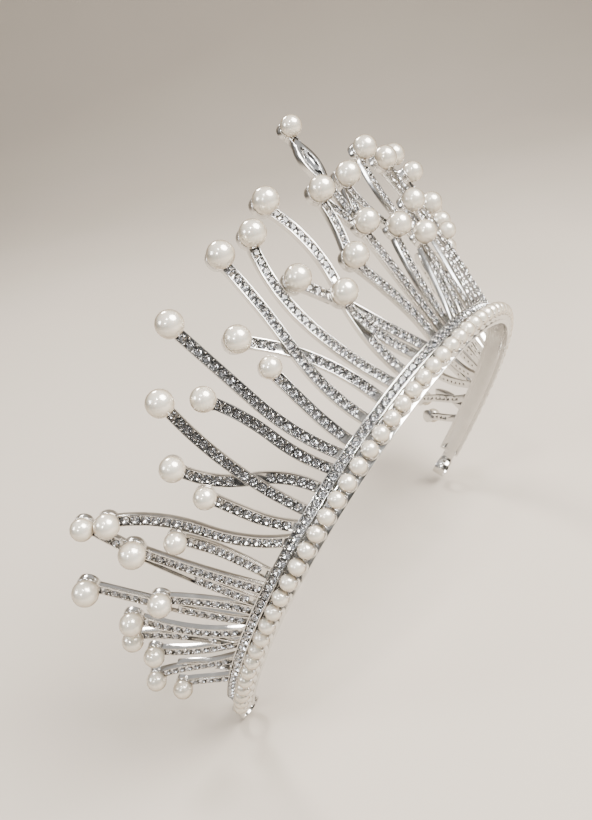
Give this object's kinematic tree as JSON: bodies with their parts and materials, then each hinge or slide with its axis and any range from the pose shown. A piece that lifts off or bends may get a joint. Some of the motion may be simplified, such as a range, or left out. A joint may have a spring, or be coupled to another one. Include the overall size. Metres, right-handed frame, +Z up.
{
  "type": "tiara",
  "caption": "Open horseshoe tiara: metal band with a pearl row and a stone channel, and curved stone-set stems flaring outwards, each ending in a pearl",
  "frame": {"origin": "middle of the front of the band, half way through its wall, on its lower edge, where the rest_face mount is", "axes": "+Z up from the band's lower edge towards the tips, -Y out of the front, +X to the wearer's left"},
  "size_m": [0.2002, 0.1499, 0.0714],
  "materials": {
    "metal": "bright plated",
    "crystal": "faceted, foil backed",
    "pearl": "nacre lustre"
  },
  "bodies": {
    "root": {"band": "metal", "band_pearls": "pearl", "band_stones": "crystal", "end_loops": "metal", "short_stems": "metal", "spear_crystal": "crystal", "stem_centre": "metal", "stem_left_01": "metal", "stem_left_02": "metal", "stem_left_03": "metal", "stem_left_04": "metal", "stem_left_05": "metal", "stem_left_06": "metal", "stem_left_07": "metal", "stem_left_08": "metal", "stem_left_09": "metal", "stem_left_10": "metal", "stem_left_11": "metal", "stem_left_12": "metal", "stem_left_13": "metal", "stem_left_14": "metal", "stem_left_15": "metal", "stem_left_16": "metal", "stem_left_17": "metal", "stem_left_18": "metal", "stem_left_19": "metal", "stem_left_20": "metal", "stem_left_21": "metal", "stem_left_22": "metal", "stem_left_23": "metal", "stem_left_24": "metal", "stem_left_25": "metal", "stem_right_01": "metal", "stem_right_02": "metal", "stem_right_03": "metal", "stem_right_04": "metal", "stem_right_05": "metal", "stem_right_06": "metal", "stem_right_07": "metal", "stem_right_08": "metal", "stem_right_09": "metal", "stem_right_10": "metal", "stem_right_11": "metal", "stem_right_12": "metal", "stem_right_13": "metal", "stem_right_14": "metal", "stem_right_15": "metal", "stem_right_16": "metal", "stem_right_17": "metal", "stem_right_18": "metal", "stem_right_19": "metal", "stem_right_20": "metal", "stem_right_21": "metal", "stem_right_22": "metal", "stem_right_23": "metal", "stem_right_24": "metal", "stem_right_25": "metal", "stem_spear": "metal", "stem_stones": "crystal", "tip_pearls": "pearl"}
  },
  "joints": []
}
